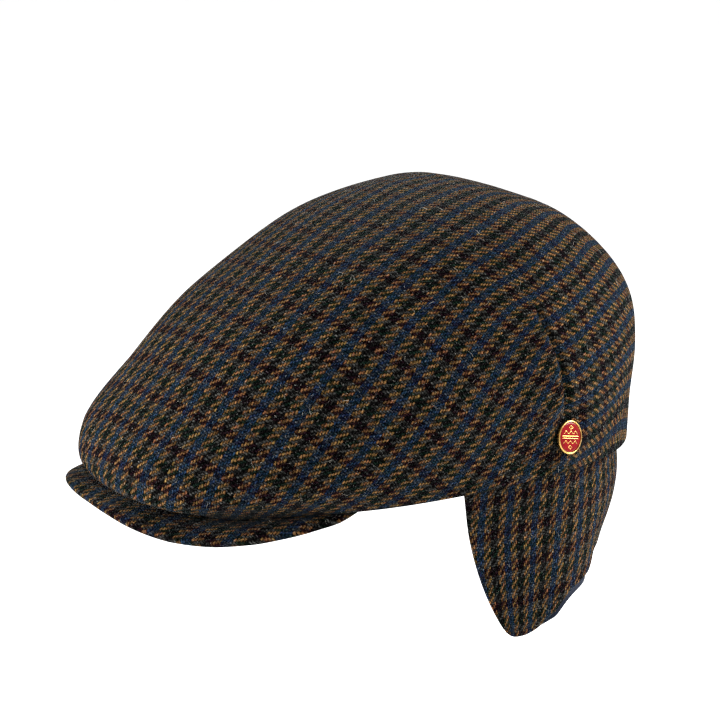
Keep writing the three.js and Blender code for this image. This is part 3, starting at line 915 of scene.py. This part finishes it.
def wirePiece(name, loops, material):
    # closed wires laid on the enamel
    sides = badge["wireSides"]
    points, faces = [], []
    for loop in loops:
        count = len(loop)
        middle = np.column_stack([loop, domeHeight(np.linalg.norm(loop, axis=-1))])
        ahead = unit(np.roll(middle, -1, 0) - np.roll(middle, 1, 0))
        side = unit(np.cross(ahead, (0, 0, 1)))
        start = sum(len(p) for p in points)
        for k in range(sides):
            turn = 2 * pi * k / sides
            offset = np.cos(turn) * side + np.sin(turn) * np.array((0, 0, 1))
            points.append(middle + badge["wire"] * offset)
            a, b = start + k * count, start + (k + 1) % sides * count
            faces += [(a + i, a + (i + 1) % count, b + (i + 1) % count, b + i) for i in range(count)]
    points = np.vstack(points)
    makePiece(name, onBadge(points), faces, planUvs(points, faces), [material], None)


def badgePieces():
    outer = badge["diameter"] / 2
    inner = outer - badge["rimWidth"]
    back, high = badge["gap"], badge["gap"] + badge["height"]
    floor = back + badge["floor"]
    soft, nick = badge["edgeRound"], badge["backNick"]
    turns = np.linspace(pi / 2, 0, badge["edgeSteps"] + 1)
    rim = [(0, back), (outer - soft, back), (outer - nick, back + nick), (outer, back + soft)]
    rim += [(outer - soft + soft * np.sin(a), high - soft + soft * np.cos(a)) for a in turns]
    rim += [(inner + out, high - down) for out, down in badge["innerEdge"]]
    turnedPiece("gilt_badge", rim + [(inner, floor), (0, floor)], gilt, "badge_rim")
    face = inner - badge["enamelGap"]
    base = floor + badge["enamelGap"]
    dome = [(r, float(domeHeight(r))) for r in np.linspace(face, 0, badge["domeSteps"] + 1)]
    turnedPiece("enamel_face", [(0, base), (face, base)] + dome, enamel, "badge_enamel")
    # plain ornament in thin gilt wire: two bars between two waves, and a lozenge above and below
    turn = np.linspace(0, 2 * pi, badge["lozengePoints"], endpoint=False)
    lozenge = np.stack([np.cos(turn), np.sin(turn)], -1)
    lozenge = lozenge * badge["lozengeSize"] / np.abs(lozenge).sum(-1, keepdims=True)
    loops = [lozenge + (0, y) for y in badge["lozenges"]]
    along = np.linspace(-1, 1, badge["lineSteps"] + 1)
    wave = badge["swell"] * np.cos(badge["swells"] * pi * along)
    lines = [np.stack([x * along, y + wave], -1) for y, x in badge["waves"]]
    lines += [np.stack([x * along, np.full(len(along), y)], -1) for y, x in badge["bars"]]
    apart = (0, badge["wireApart"])
    loops += [np.concatenate([line + apart, (line - apart)[::-1]]) for line in lines]
    cosine, sine = np.cos(np.radians(badge["turned"])), np.sin(np.radians(badge["turned"]))
    loops = [loop @ np.array(((cosine, sine), (-sine, cosine))) for loop in loops]
    wirePiece("gilt_ornament", loops, gilt)


badgePieces()
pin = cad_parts["badge_pin"]
pin.data.materials.clear()
pin.data.materials.append(steel)


# camera at the photograph's angle, in degrees from the front towards the wearer's left, and mm
view = {
    "azimuth": 60.43, "elevation": 17.28, "roll": -3.67,
    "target": (-20.96, -15.51, 33.99), "distance": 950, "lens": 102.4, "clipEnd": 50000,
}


def setCamera():
    azimuth, elevation, roll = np.radians([view["azimuth"], view["elevation"], view["roll"]])
    level = np.cos(elevation)
    back = np.array((np.sin(azimuth) * level, -np.cos(azimuth) * level, np.sin(elevation)))
    right = np.array((np.cos(azimuth), np.sin(azimuth), 0))
    up = np.cross(back, right)
    across = np.cos(roll) * right + np.sin(roll) * up
    upright = np.cos(roll) * up - np.sin(roll) * right
    camera = bpy.data.cameras.new("camera")
    camera.lens = view["lens"]
    camera.clip_end = view["clipEnd"] * mm
    holder = bpy.data.objects.new("camera", camera)
    scene.collection.objects.link(holder)
    place = (np.array(view["target"]) + view["distance"] * back) * mm
    turned = Matrix((across, upright, back)).transposed().to_4x4()
    holder.matrix_world = Matrix.Translation(place) @ turned
    scene.camera = holder


setCamera()


# pale floor and soft studio light, in mm
studio = {
    "floorDrop": 450, "floorSize": 16000, "floor": "#fbfbfb",
    "sky": "#ffffff", "skyStrength": 1.03, "aim": (0, -20, 40),
}
lamps = [  # power in watts
    {"name": "right", "place": (450, 1150, 560), "size": 900, "power": 70},
    {"name": "left", "place": (-400, -1250, 330), "size": 1000, "power": 62},
]


def setStudio():
    half = studio["floorSize"] / 2 * mm
    mesh = bpy.data.meshes.new("floor")
    edge = [(-half, -half, 0), (half, -half, 0), (half, half, 0), (-half, half, 0)]
    mesh.from_pydata(edge, [], [(0, 1, 2, 3)])
    floor = bpy.data.objects.new("floor", mesh)
    floor.location.z = float(cadBox[0][2]) - studio["floorDrop"] * mm
    scene.collection.objects.link(floor)
    # matt paper: white, without a shine
    paper, t = newMaterial("matt white paper backdrop")
    cover = addNode(t, "BsdfPrincipled", {
        "Base Color": linear(studio["floor"]), "Roughness": 0.9, "Specular IOR Level": 0.1,
    })
    addNode(t, "OutputMaterial", {0: cover})
    mesh.materials.append(paper)
    world = bpy.data.worlds.new("white studio")
    scene.world = world
    world.use_nodes = True
    sky = world.node_tree.nodes["Background"].inputs
    sky["Color"].default_value = linear(studio["sky"])
    sky["Strength"].default_value = studio["skyStrength"]
    for lamp in lamps:
        light = bpy.data.lights.new(lamp["name"], "AREA")
        light.shape = "DISK"
        light.size = lamp["size"] * mm
        light.energy = lamp["power"]
        holder = bpy.data.objects.new(lamp["name"], light)
        holder.location = Vector(lamp["place"]) * mm
        aim = Vector(studio["aim"]) * mm - holder.location
        holder.rotation_euler = aim.to_track_quat("-Z", "Y").to_euler()
        scene.collection.objects.link(holder)
    scene.view_settings.view_transform = "Standard"


setStudio()
print("camera and light set")
